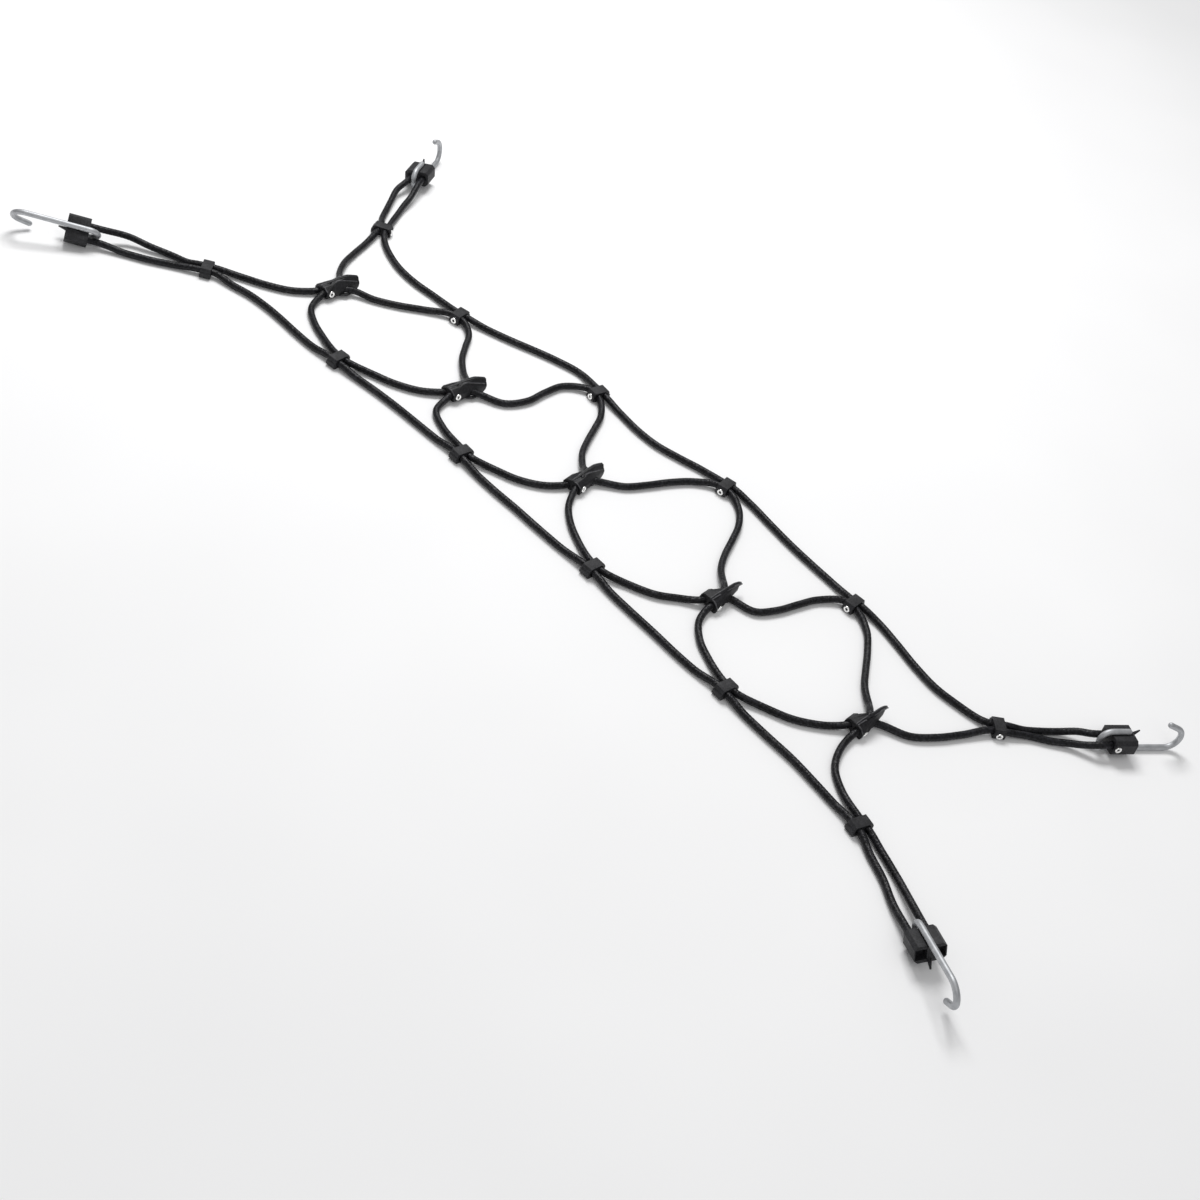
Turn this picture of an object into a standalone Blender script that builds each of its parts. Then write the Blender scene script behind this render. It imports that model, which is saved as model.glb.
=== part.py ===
"""Luggage net of elastic cord: four cords, moulded clips with rivets, and four wire hooks in hook blocks.

Lengths in the tables are in millimetres and the scene is in metres. +X runs along the net, +Y to its back side,
and the floor is z = 0.
"""
import math

import bmesh
import bpy
from mathutils import Euler, Matrix, Vector

MM = 0.001

# The middle of the net's box as drawn. The finished net is moved to put it at the origin.
NET_MIDDLE = (1.5, 15.45)

# Cords: 6 mm braided elastic.
CORD_RADIUS = 3.0
CORD_SIDES_RESOLUTION = 2
CORD_STEPS = (8.0, 22.0)
CORD_FLATNESS = 0.4
CHANNEL_RADIUS = 3.62
REST_Z = 3.2

# Side and leg clips: x along the cords, y across them with the rivet end at +y, z up.
CLIP_HALF_LENGTH = 4.9
CLIP_OUTLINE = (
    # y, z
    (7.8, 0.0), (9.2, 1.4), (9.2, 6.4), (7.4, 9.2), (-7.6, 9.2), (-9.0, 7.4), (-9.0, 5.8), (-10.4, 4.8),
    (-10.4, 1.4), (-9.0, 0.0),
)
CLIP_CORD_Z = 4.75
CLIP_CORD_Y = 3.9
CLIP_RIVET_Z = 3.7

# Rivets: hollow, with a flat head.
RIVET_RADIUS = 3.0
RIVET_BORE = 1.2
RIVET_HEAD = 1.3
RIVET_SEAT_RADIUS = 3.35
RIVET_SEAT_DEPTH = 0.9
RIVET_GAP = 0.3
RIVET_SIDES = 12

# Centre clips: y along the clip from the front end to the lobe, x across it, z up.
CENTRE_BODY_LENGTH = (-12.5, -2.5)
CENTRE_BODY_OUTLINE = (
    # x, z
    (-9.3, 1.0), (-9.3, 5.7), (-7.0, 8.9), (0.0, 9.9), (4.6, 9.8), (9.3, 6.4), (9.3, 1.0), (8.5, 0.0), (-8.5, 0.0),
)
CENTRE_FLAP_CORNERS = (
    # x, y, z
    (-8.9, -12.3, 0.3), (-8.9, -12.3, 5.5), (-7.0, -12.3, 8.7), (1.2, -12.3, 10.0), (2.0, -12.3, 0.3),
    (-8.9, -4.0, 0.3), (-8.7, -4.0, 6.0), (-7.0, -4.0, 9.0),
    (-1.6, 6.5, 0.3), (-1.2, 6.5, 9.6), (0.6, 6.0, 13.9), (2.2, 6.0, 13.9), (2.2, 7.0, 0.3),
)
CENTRE_FIN_CORNERS = (
    # x, y, z
    (0.6, -12.2, 0.4), (9.0, -12.2, 0.4), (9.0, -12.2, 6.2), (4.5, -12.2, 9.6), (0.6, -12.2, 10.0),
    (0.6, 5.0, 13.9), (2.6, 5.0, 13.7), (1.2, 15.0, 14.0), (3.2, 15.0, 13.7), (1.8, 22.0, 11.6), (3.8, 22.0, 11.2),
    (9.0, -2.0, 6.2), (6.4, -6.0, 10.2), (5.4, -1.0, 12.3), (8.0, 5.0, 7.4), (6.6, 13.0, 8.0), (5.4, 13.0, 1.2),
    (8.6, -1.5, 0.4), (5.6, 20.0, 6.0),
)
CENTRE_RIM_CORNERS = (
    # x, y, z
    (-0.9, -12.8, 7.5), (1.1, -12.8, 7.5), (-0.7, -12.8, 10.3), (0.9, -12.8, 10.3),
    (0.3, 5.0, 14.4), (2.8, 5.0, 14.3), (0.9, 15.0, 14.8), (3.4, 15.0, 14.5), (1.6, 22.5, 12.4), (4.0, 22.5, 12.0),
)
# The end of the lobe, which lies broad side up in some clips and edge on in others.
LOBE_ENDS = {
    # (x, y, z) of the fin's corners, then of the rim's
    "broad": (
        ((5.2, 26.6, 8.0), (6.8, 26.0, 6.0), (7.0, 25.0, 3.0), (4.8, 25.5, 2.4), (4.2, 23.0, 0.4), (7.0, 22.5, 0.4)),
        ((2.3, 26.2, 12.0), (4.4, 26.2, 11.6), (4.2, 26.4, 5.2), (6.2, 26.2, 5.0)),
    ),
    "narrow": (
        ((3.4, 22.4, 8.0), (5.0, 21.8, 6.0), (5.2, 20.8, 3.0), (3.0, 21.3, 2.4), (2.0, 19.0, 0.4), (4.8, 18.5, 0.4)),
        ((2.3, 26.8, 9.6), (4.4, 26.8, 9.2), (2.1, 27.2, 8.0), (4.1, 27.0, 7.8)),
    ),
}
CENTRE_FOOT_PLAN = (
    # x as a share of the foot's reach, y
    (0.3, 2.0), (0.72, 1.6), (1.0, 8.0), (0.95, 12.0), (0.7, 16.0), (0.3, 17.0),
)
CENTRE_FOOT_HEIGHTS = (0.15, 1.0)
CENTRE_RIVET_X = 9.3
CENTRE_RIVET_Y = -7.5
CENTRE_RIVET_Z = 4.0

# Hook block: x towards the hook, y across its thickness towards the wire's tail, z across the two cords.
BLOCK_CENTRE_X = 7.1
BLOCK_HALF_LENGTH = 10.0
BLOCK_OUTLINE = (
    # y, z
    (7.4, -9.4), (7.4, 9.4), (4.6, 12.2), (-4.6, 12.2), (-7.4, 9.4), (-7.4, -9.4), (-4.6, -12.2), (4.6, -12.2),
)
BLOCK_GROOVE_HALF_WIDTH = 2.95
BLOCK_GROOVE_BOTTOM = 5.9
BLOCK_CORD_Z = 6.5
BLOCK_POCKET = (6.0, 4.6, 4.4)
BLOCK_POCKET_Z = 7.0
BLOCK_RIVET_X = 0.5
SPIKE_BASE = (16.6, 5.6, -0.4)
SPIKE_TIP = (23.6, 8.4, -2.2)

# Hook wire, in the block's x-y plane.
WIRE_RADIUS = 2.5
WIRE_OFFSET = 8.8
WIRE_TAIL_X = 14.8
WIRE_REAR_X = -2.6
WIRE_SHANK_X = 52.6
WIRE_HOOK_RADIUS = 11.1
WIRE_HOOK_SWEEP = 156.0
WIRE_TIP = 12.0

# Hooks: place of the frame's origin, heading, nose-up pitch and roll in degrees, and 1 where the block's rivet
# is in its +z face or -1 where it is in the other.
HOOKS = {
    # name: x, y, z, heading, pitch, roll, rivet side
    "front_left": (-483.2, -166.0, 11.95, -132.4, 8.0, 217.5, -1),
    "back_left": (-417.8, 185.9, 11.35, 115.3, 0.0, 10.0, -1),
    "back_right": (466.0, 130.9, 11.35, 54.9, 0.0, 3.0, 1),
    "front_right": (480.8, -171.9, 11.7, -36.5, 14.1, 167.4, 1),
}

# Clips that hold two cords side by side: place, heading of the cords, and 1 where the rivet end points to +y of
# that heading or -1 where it points the other way.
CLIPS = {
    # name: x, y, heading, rivet side
    "leg_front_left": (-396.5, -97.2, 38.0, 1),
    "leg_back_left": (-370.5, 96.2, -60.0, 1),
    "leg_back_right": (397.0, 64.7, 44.0, -1),
    "leg_front_right": (388.1, -118.2, -18.0, 1),
    "front_1": (-235.0, -81.3, 3.0, 1),
    "front_2": (-82.9, -76.2, -6.0, 1),
    "front_3": (80.0, -84.0, -4.0, 1),
    "front_4": (235.6, -95.6, -7.0, 1),
    "back_1": (-229.0, 63.2, 10.0, -1),
    "back_2": (-78.8, 95.2, -10.0, -1),
    "back_3": (74.5, 98.8, 8.0, -1),
    "back_4": (236.2, 77.6, 0.0, -1),
}

# Centre clips: place of the crossing, turn about z, roll about the clip's length, how far the foot reaches, and
# the end of the lobe.
CENTRES = {
    # name: x, y, turn, roll, foot, lobe
    "centre_1": (-317.6, -15.4, -5.0, -9.0, 12.5, "broad"),
    "centre_2": (-146.7, -17.5, -8.0, -8.0, 12.0, "broad"),
    "centre_3": (-1.9, -11.4, 6.0, -4.0, 9.0, "broad"),
    "centre_4": (162.6, -20.5, 2.0, 12.0, 8.0, "narrow"),
    "centre_5": (324.0, -29.6, 0.0, 12.0, 8.0, "narrow"),
}

# Stretches of cord between the clips: x and y, and a height where the cord is off the floor.
STRETCHES = {
    "leg_1_outer": ((-451.5, -146.5), (-434, -134), (-418, -120)),
    "leg_1_inner": ((-465.5, -132.5, 8.2), (-447.5, -121.5, 4.9), (-430.5, -111.5), (-415, -105.5)),
    "front_a": ((-368, -91.5), (-348, -87), (-327, -85.5), (-306, -86), (-285, -87.5), (-262, -88)),
    "front_b": ((-208, -83.5), (-185, -81.5), (-160, -80.5), (-135, -80.5), (-110, -80.5)),
    "front_c": ((-55, -83.5), (-32, -85), (-8, -85.5), (18, -87), (48, -88)),
    "front_d": ((108, -92), (134, -94.5), (160, -96.5), (185, -99), (208, -100)),
    "front_e": ((262, -103.5), (288, -106), (314.5, -108), (338.5, -112), (362, -116.5)),
    "leg_4_outer": ((409.5, -133.5), (430, -144.5), (448.5, -158, 4)),
    "leg_2_outer": ((-397, 157.5, 7.4), (-391, 142.5, 4.8), (-385.5, 131), (-377, 114.5)),
    "leg_2_inner": ((-414.5, 155.5, 7.2), (-405.5, 140, 4.6), (-395.5, 124), (-386, 109.5)),
    "back_a": ((-350, 81.5), (-334, 73.5), (-314, 67), (-290, 64.5), (-262, 66)),
    "back_b": ((-202.5, 74), (-180.5, 81.5), (-158, 90.5), (-136, 98.5), (-110, 104.5)),
    "back_c": ((-50, 94), (-24, 89.5), (0, 89), (24, 94), (47.5, 100)),
    "back_d": ((102, 102.5), (128, 97), (156, 91.5), (184, 87.5), (210, 84.5)),
    "back_e": ((262, 80), (288, 72.5), (312, 64.5), (338, 58.5), (360, 58.5), (378, 60)),
    "leg_3_outer": ((412, 84), (421.5, 95.5), (431.5, 108, 4), (441.5, 117.5, 7.4)),
    "leg_3_inner": ((417.5, 81), (431, 91.5), (443.5, 102.5, 4.4), (455, 110, 7.9)),
    "leg_4_inner": ((414, -124), (436, -134.5, 3.6), (457, -147.5, 6.4)),
    # inner cord 1
    "l1_c1": ((-374.5, -76.5), (-354, -64), (-336.5, -49.5), (-325, -31.5, 3.6)),
    "c1_b1": ((-306, 0.5, 5.2), (-288.5, 10.5), (-270.5, 25), (-254, 42)),
    "b1_c2": ((-205.5, 53), (-192.5, 35.5), (-180, 19, 4.2), (-164.5, 5.5, 4.5)),
    "c2_a2": ((-145, -34.5, 4.3), (-138, -54), (-117, -65)),
    "a2_c3": ((-55, -65.5), (-34, -57), (-16.5, -43), (-6.5, -27, 3.5)),
    "c3_b3": ((9.5, 5.5, 3.8), (23.5, 19.5), (33, 39), (41.5, 60), (52.5, 80)),
    "b3_c4": ((99.5, 87.5), (113.5, 70.5), (123, 50), (131.5, 29.5), (142, 11, 4), (156.5, -4.5, 7.6)),
    "c4_a4": ((167, -35.5, 4.5), (172, -53.5), (187.5, -70.5), (208, -82)),
    "a4_c5": ((265.5, -84), (288, -74), (306, -59), (316.5, -46.5, 4.4)),
    "c5_l3": ((338, -16, 3.9), (357, -6.5), (372, 13), (383, 34)),
    # inner cord 2
    "l2_c1": ((-361, 65), (-354.5, 46), (-346, 25, 4), (-333.5, 7, 5.6)),
    "c1_a1": ((-315, -32, 4.7), (-306.5, -50.5), (-289, -62.5), (-268, -70.5)),
    "a1_c2": ((-206.5, -68), (-185.5, -59.5), (-166.5, -46.5), (-153.5, -29.5, 3.8)),
    "c2_b2": ((-133, -3, 4.2), (-114.5, 8), (-106, 30), (-106.5, 53), (-104, 76.5)),
    "b2_c3": ((-56.5, 75.5), (-46.5, 56), (-37.5, 36.5), (-27, 18, 4), (-12, 2.5, 5.8)),
    "c3_a3": ((3.5, -24.5, 4.8), (14, -43), (31, -58.5), (52, -70.5)),
    "a3_c4": ((109, -72), (130, -61.5), (146, -46), (157, -36, 5.1)),
    "c4_b4": ((172.5, -9.5, 3.7), (191.5, -4), (202, 14.5), (208, 36), (214.5, 56.5)),
    "b4_c5": ((262, 63), (277, 44), (289.5, 24.5), (301.5, 6, 4), (317.5, -11, 6.4)),
    "c5_l4": ((328, -43, 4.8), (330.5, -65), (340.5, -86.5), (359, -101.5)),
}

# Each cord, from hook block to hook block: (what, name, detail). A block entry names the side of the block's z
# axis, a clip entry the side of the clip's y axis, and a crossing entry "high" or "low" and its way through.
CORDS = {
    "cord_front_outer": (
        ("block", "front_left", 1), ("free", "leg_1_outer"), ("clip", "leg_front_left", -1), ("free", "front_a"),
        ("clip", "front_1", -1), ("free", "front_b"), ("clip", "front_2", -1), ("free", "front_c"),
        ("clip", "front_3", -1), ("free", "front_d"), ("clip", "front_4", -1), ("free", "front_e"),
        ("clip", "leg_front_right", -1), ("free", "leg_4_outer"), ("block", "front_right", -1),
    ),
    "cord_back_outer": (
        ("block", "back_left", 1), ("free", "leg_2_outer"), ("clip", "leg_back_left", 1), ("free", "back_a"),
        ("clip", "back_1", 1), ("free", "back_b"), ("clip", "back_2", 1), ("free", "back_c"),
        ("clip", "back_3", 1), ("free", "back_d"), ("clip", "back_4", 1), ("free", "back_e"),
        ("clip", "leg_back_right", 1), ("free", "leg_3_outer"), ("block", "back_right", -1),
    ),
    "cord_inner_1": (
        ("block", "front_left", -1), ("free", "leg_1_inner"), ("clip", "leg_front_left", 1), ("free", "l1_c1"),
        ("cross", "centre_1", "low"), ("free", "c1_b1"), ("clip", "back_1", -1), ("free", "b1_c2"),
        ("cross", "centre_2", "high"), ("free", "c2_a2"), ("clip", "front_2", 1), ("free", "a2_c3"),
        ("cross", "centre_3", "low"), ("free", "c3_b3"), ("clip", "back_3", -1), ("free", "b3_c4"),
        ("cross", "centre_4", "high"), ("free", "c4_a4"), ("clip", "front_4", 1), ("free", "a4_c5"),
        ("cross", "centre_5", "low"), ("free", "c5_l3"), ("clip", "leg_back_right", -1), ("free", "leg_3_inner"),
        ("block", "back_right", 1),
    ),
    "cord_inner_2": (
        ("block", "back_left", -1), ("free", "leg_2_inner"), ("clip", "leg_back_left", -1), ("free", "l2_c1"),
        ("cross", "centre_1", "high"), ("free", "c1_a1"), ("clip", "front_1", 1), ("free", "a1_c2"),
        ("cross", "centre_2", "low"), ("free", "c2_b2"), ("clip", "back_2", -1), ("free", "b2_c3"),
        ("cross", "centre_3", "high"), ("free", "c3_a3"), ("clip", "front_3", 1), ("free", "a3_c4"),
        ("cross", "centre_4", "low"), ("free", "c4_b4"), ("clip", "back_4", -1), ("free", "b4_c5"),
        ("cross", "centre_5", "high"), ("free", "c5_l4"), ("clip", "leg_front_right", 1), ("free", "leg_4_inner"),
        ("block", "front_right", 1),
    ),
}

# Way of the cords through a centre clip, in the clip's own axes. The high cord comes from the lobe's left and
# leaves at the front's right, the low cord the other way.
CROSSING_HIGH = (
    # x, y, z
    (-3.6, 10.6, 8.6), (0.2, 4.4, 10.3), (2.5, -1.0, 9.7), (3.7, -6.2, 7.1), (3.8, -11.3, 4.8),
)
CROSSING_LOW = (
    # x, y, z
    (5.7, 8.5, 3.8), (1.3, 3.9, 3.1), (-1.2, -0.3, 2.9), (-3.1, -4.9, 3.3), (-4.4, -11.0, 3.3),
)


def clear_scene():
    for old in list(bpy.data.objects):
        bpy.data.objects.remove(old, do_unlink=True)


def new_collection(name, hidden=False):
    made = bpy.data.collections.new(name)
    bpy.context.scene.collection.children.link(made)
    made.hide_render = hidden
    return made


def new_material(name, colour, metallic, roughness):
    made = bpy.data.materials.new(name)
    made.use_nodes = True
    shader = made.node_tree.nodes["Principled BSDF"]
    shader.inputs["Base Color"].default_value = (*colour, 1.0)
    shader.inputs["Metallic"].default_value = metallic
    shader.inputs["Roughness"].default_value = roughness
    return made


def hook_frame(name):
    """The 4x4 matrix of a hook: x towards the hook, y in the wire's plane, z across the cords."""
    x, y, z, heading, pitch, roll, _ = HOOKS[name]
    heading, pitch, roll = math.radians(heading), math.radians(pitch), math.radians(roll)
    ahead = Vector((
        math.cos(heading) * math.cos(pitch),
        math.sin(heading) * math.cos(pitch),
        math.sin(pitch),
    ))
    left = Vector((-math.sin(heading), math.cos(heading), 0.0))
    tail_side = ahead.cross(left) * math.cos(roll) + left * math.sin(roll)
    across = ahead.cross(tail_side)
    turned = Matrix((ahead, tail_side, across)).transposed()
    return Matrix.Translation(Vector((x, y, z))) @ turned.to_4x4()


def clip_frame(name):
    x, y, heading, _ = CLIPS[name]
    return Matrix.Translation(Vector((x, y, 0.0))) @ Matrix.Rotation(math.radians(heading), 4, "Z")


def centre_frame(name):
    """A rolled clip is lifted, so that its lower edge stays on the floor."""
    x, y, turn, roll, _, _ = CENTRES[name]
    lift = 8.5 * math.sin(math.radians(abs(roll)))
    turned = Euler((0.0, math.radians(roll), math.radians(turn)), "XYZ").to_matrix().to_4x4()
    return Matrix.Translation(Vector((x, y, lift))) @ turned


def route_of(steps):
    """The chosen points that a cord passes through, in millimetres."""
    points = []
    for number, step in enumerate(steps):
        kind, name = step[0], step[1]
        if kind == "free":
            points += [Vector((*place, REST_Z)[:3]) for place in STRETCHES[name]]
        elif kind == "block":
            frame = hook_frame(name)
            inside = [
                frame @ Vector((x, 0.0, step[2] * (BLOCK_CORD_Z + more)))
                for x, more in ((10.5, 0.0), (0.0, 0.0), (-14.0, 0.0))
            ]
            points += inside if number == 0 else reversed(inside)
        elif kind == "clip":
            frame = clip_frame(name)
            through = [frame @ Vector((x, step[2] * CLIP_CORD_Y, CLIP_CORD_Z)) for x in (-7.5, 7.5)]
            points += ordered(through, points)
        else:
            frame = centre_frame(name)
            through = [frame @ Vector(p) for p in (CROSSING_HIGH if step[2] == "high" else CROSSING_LOW)]
            points += ordered(through, points)
    return points


def ordered(through, before):
    """The points of a passage, starting from the end nearer to the cord so far."""
    if (through[-1] - before[-1]).length < (through[0] - before[-1]).length:
        through = through[::-1]
    return through


def smooth(route):
    """A centripetal Catmull-Rom curve through the route, sampled finely."""
    padded = [2 * route[0] - route[1], *route, 2 * route[-1] - route[-2]]
    fine = []
    for a, b, c, d in zip(padded, padded[1:], padded[2:], padded[3:]):
        knots = [0.0]
        for p, q in ((a, b), (b, c), (c, d)):
            knots.append(knots[-1] + math.sqrt((q - p).length))
        count = max(2, round((c - b).length / 1.5))
        for i in range(count):
            t = knots[1] + (knots[2] - knots[1]) * i / count
            ab = a.lerp(b, (t - knots[0]) / (knots[1] - knots[0]))
            bc = b.lerp(c, (t - knots[1]) / (knots[2] - knots[1]))
            cd = c.lerp(d, (t - knots[2]) / (knots[3] - knots[2]))
            abc = ab.lerp(bc, (t - knots[0]) / (knots[2] - knots[0]))
            bcd = bc.lerp(cd, (t - knots[1]) / (knots[3] - knots[1]))
            fine.append(abc.lerp(bcd, (t - knots[1]) / (knots[2] - knots[1])))
    fine.append(route[-1].copy())
    for point in fine:
        point.z = max(point.z, REST_Z)
    return fine


def spaced(fine):
    """Points of the fine line, closer together where it bends."""
    along = [0.0]
    for i, (p, q) in enumerate(zip(fine, fine[1:])):
        before, after = fine[max(i - 4, 0)], fine[min(i + 5, len(fine) - 1)]
        bend = (p - before).angle(after - q, 0.0) / max((after - before).length, 1.0) * 1.6
        step = math.sqrt(8 * CORD_FLATNESS / max(bend, 1e-4))
        along.append(along[-1] + (q - p).length / min(max(step, CORD_STEPS[0]), CORD_STEPS[1]))
    count = round(along[-1])
    kept, i = [], 0
    for k in range(count + 1):
        at = along[-1] * k / count
        while i < len(fine) - 2 and along[i + 1] < at:
            i += 1
        share = (at - along[i]) / (along[i + 1] - along[i])
        kept.append(fine[i].lerp(fine[i + 1], min(max(share, 0.0), 1.0)))
    return kept


def tube(name, points, radius, resolution, collection):
    """A round bar along the points, as a closed mesh."""
    curve = bpy.data.curves.new(name, "CURVE")
    curve.dimensions = "3D"
    curve.bevel_depth = radius * MM
    curve.bevel_resolution = resolution
    curve.use_fill_caps = True
    spline = curve.splines.new("POLY")
    spline.points.add(len(points) - 1)
    for point, place in zip(spline.points, points):
        point.co = (*(place * MM), 1.0)
    return solid_from_curve(name, curve, collection)


def prism(name, outline, start, end, frame, collection):
    """An outline drawn in the local x-y plane, raised from start to end along local z, then placed by the frame."""
    curve = bpy.data.curves.new(name, "CURVE")
    curve.dimensions = "2D"
    curve.fill_mode = "BOTH"
    curve.extrude = (end - start) / 2 * MM
    spline = curve.splines.new("POLY")
    spline.use_cyclic_u = True
    spline.points.add(len(outline) - 1)
    for point, (x, y) in zip(spline.points, outline):
        point.co = (x * MM, y * MM, 0.0, 1.0)
    made = solid_from_curve(name, curve, collection)
    middle = Matrix.Translation(Vector((0.0, 0.0, (start + end) / 2 * MM)))
    made.data.transform(scaled(frame) @ middle)
    fix_normals(made.data)
    return made


def scaled(frame):
    """A frame in millimetres, as one in metres."""
    metres = frame.copy()
    metres.translation = frame.translation * MM
    return metres


def solid_from_curve(name, curve, collection):
    drawn = bpy.data.objects.new(name + "_drawn", curve)
    collection.objects.link(drawn)
    mesh = bpy.data.meshes.new_from_object(drawn)
    bpy.data.objects.remove(drawn, do_unlink=True)
    bpy.data.curves.remove(curve)
    fix_normals(mesh)
    mesh.name = name
    made = bpy.data.objects.new(name, mesh)
    collection.objects.link(made)
    return made


def fix_normals(mesh):
    work = bmesh.new()
    work.from_mesh(mesh)
    bmesh.ops.remove_doubles(work, verts=work.verts, dist=1e-6)
    bmesh.ops.recalc_face_normals(work, faces=work.faces)
    work.to_mesh(mesh)
    work.free()


def boolean(target, tool, operation):
    modifier = target.modifiers.new(f"{operation.lower()}_{tool.name}", "BOOLEAN")
    modifier.object = tool
    modifier.operation = operation
    modifier.solver = "EXACT"


def apply_modifiers(obj):
    """Replaces the object's mesh by its evaluated one, with coplanar scraps merged."""
    graph = bpy.context.evaluated_depsgraph_get()
    mesh = bpy.data.meshes.new_from_object(obj.evaluated_get(graph))
    obj.modifiers.clear()
    work = bmesh.new()
    work.from_mesh(mesh)
    bmesh.ops.remove_doubles(work, verts=work.verts, dist=2e-6)
    bmesh.ops.dissolve_limit(work, angle_limit=math.radians(0.5), verts=work.verts, edges=work.edges)
    bmesh.ops.triangulate(work, faces=work.faces)
    work.to_mesh(mesh)
    work.free()
    obj.data = mesh


def hull(name, corners, frame):
    """The convex solid over a table of corners."""
    work = bmesh.new()
    for corner in corners:
        work.verts.new(Vector(corner) * MM)
    bmesh.ops.convex_hull(work, input=work.verts)
    loose = [vertex for vertex in work.verts if not vertex.link_faces]
    bmesh.ops.delete(work, geom=loose, context="VERTS")
    mesh = bpy.data.meshes.new(name)
    work.to_mesh(mesh)
    work.free()
    mesh.transform(scaled(frame))
    fix_normals(mesh)
    made = bpy.data.objects.new(name, mesh)
    CUTTERS.objects.link(made)
    return made


def turned_plane(x_axis, y_axis):
    """A frame whose local x and y are the given axes."""
    x_axis, y_axis = Vector(x_axis), Vector(y_axis)
    return Matrix((x_axis, y_axis, x_axis.cross(y_axis))).transposed().to_4x4()


def box(name, low, high, frame, collection):
    outline = ((low[0], low[1]), (high[0], low[1]), (high[0], high[1]), (low[0], high[1]))
    return prism(name, outline, low[2], high[2], frame, collection)


def near(points, place, reach):
    """The run of a cord's points that passes a place, with one more at each end."""
    inside = [i for i, p in enumerate(points) if (p - place).length < reach]
    return points[max(inside[0] - 1, 0): inside[-1] + 2]


def cut_channels(target, frame, lines, reach, names):
    """Cuts the cords' channels out of a moulding."""
    place = frame.translation
    for cord_name in names:
        run = near(lines[cord_name], place, reach)
        cutter = tube(f"channel_{target.name}_{cord_name}", run, CHANNEL_RADIUS, 2, CUTTERS)
        boolean(target, cutter, "DIFFERENCE")


def rivet(name, frame):
    """A washer-shaped head. Local z points out of the face, and z = 0 is the face."""
    profile = (
        (RIVET_BORE, RIVET_GAP - RIVET_SEAT_DEPTH), (RIVET_RADIUS, RIVET_GAP - RIVET_SEAT_DEPTH),
        (RIVET_RADIUS, RIVET_GAP - RIVET_SEAT_DEPTH + RIVET_HEAD * 0.6),
        (RIVET_RADIUS - 0.6, RIVET_GAP - RIVET_SEAT_DEPTH + RIVET_HEAD),
        (RIVET_BORE, RIVET_GAP - RIVET_SEAT_DEPTH + RIVET_HEAD),
    )
    work = bmesh.new()
    ring = [work.verts.new((r * MM, 0.0, z * MM)) for r, z in profile]
    edges = [work.edges.new((a, b)) for a, b in zip(ring, ring[1:] + ring[:1])]
    bmesh.ops.spin(
        work, geom=ring + edges, cent=(0, 0, 0), axis=(0, 0, 1), angle=math.tau, steps=RIVET_SIDES, use_merge=True
    )
    mesh = bpy.data.meshes.new(name)
    work.to_mesh(mesh)
    work.free()
    made = bpy.data.objects.new(name, mesh)
    PARTS.objects.link(made)
    mesh.transform(scaled(frame))
    fix_normals(mesh)
    mesh.materials.append(METAL)
    return made


def cut_seat(target, frame):
    outline = [
        (RIVET_SEAT_RADIUS * math.cos(a), RIVET_SEAT_RADIUS * math.sin(a))
        for a in (math.tau * i / RIVET_SIDES for i in range(RIVET_SIDES))
    ]
    seat = prism(f"seat_{target.name}", outline, -RIVET_SEAT_DEPTH, 4.0, frame, CUTTERS)
    boolean(target, seat, "DIFFERENCE")


def cords_at(kind, name):
    return [cord for cord, steps in CORDS.items() if any(s[0] == kind and s[1] == name for s in steps)]


def build_cords():
    lines = {}
    for name, steps in CORDS.items():
        lines[name] = spaced(smooth(route_of(steps)))
        made = tube(name, lines[name], CORD_RADIUS, CORD_SIDES_RESOLUTION, PARTS)
        made.data.materials.append(CORD)
    return lines


def build_clip(name, lines):
    frame = clip_frame(name)
    flip = CLIPS[name][3]
    outline = [(flip * y, z) for y, z in CLIP_OUTLINE]
    section = frame @ turned_plane((0, 1, 0), (0, 0, 1))
    made = prism("clip_" + name, outline, -CLIP_HALF_LENGTH, CLIP_HALF_LENGTH, section, PARTS)
    made.data.materials.append(PLASTIC)
    cut_channels(made, frame, lines, 26.0, cords_at("clip", name))
    face = Vector((0.0, flip * CLIP_OUTLINE[1][0], CLIP_RIVET_Z))
    out = frame @ Matrix.Translation(face) @ turned_plane((-flip, 0, 0), (0, 0, 1))
    cut_seat(made, out)
    rivet("rivet_" + name, out)


def centre_shell(reach, lobe):
    """A centre clip's moulding before the cords' channels are cut, in its own axes."""
    fin_end, rim_end = LOBE_ENDS[lobe]
    here = Matrix.Identity(4)
    across = turned_plane((-1, 0, 0), (0, 0, 1))
    mirrored = [(-x, z) for x, z in CENTRE_BODY_OUTLINE]
    foot = [(x * reach, y) for x, y in CENTRE_FOOT_PLAN]
    shell = prism("shell", mirrored, *CENTRE_BODY_LENGTH, across, CUTTERS)
    pieces = [
        hull("shell_flap", CENTRE_FLAP_CORNERS, here),
        hull("shell_fin", CENTRE_FIN_CORNERS + fin_end, here),
        hull("shell_rim", CENTRE_RIM_CORNERS + rim_end, here),
        prism("shell_foot", foot, *CENTRE_FOOT_HEIGHTS, here, CUTTERS),
    ]
    for piece in pieces:
        boolean(shell, piece, "UNION")
        apply_modifiers(shell)
    return shell.data


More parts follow.
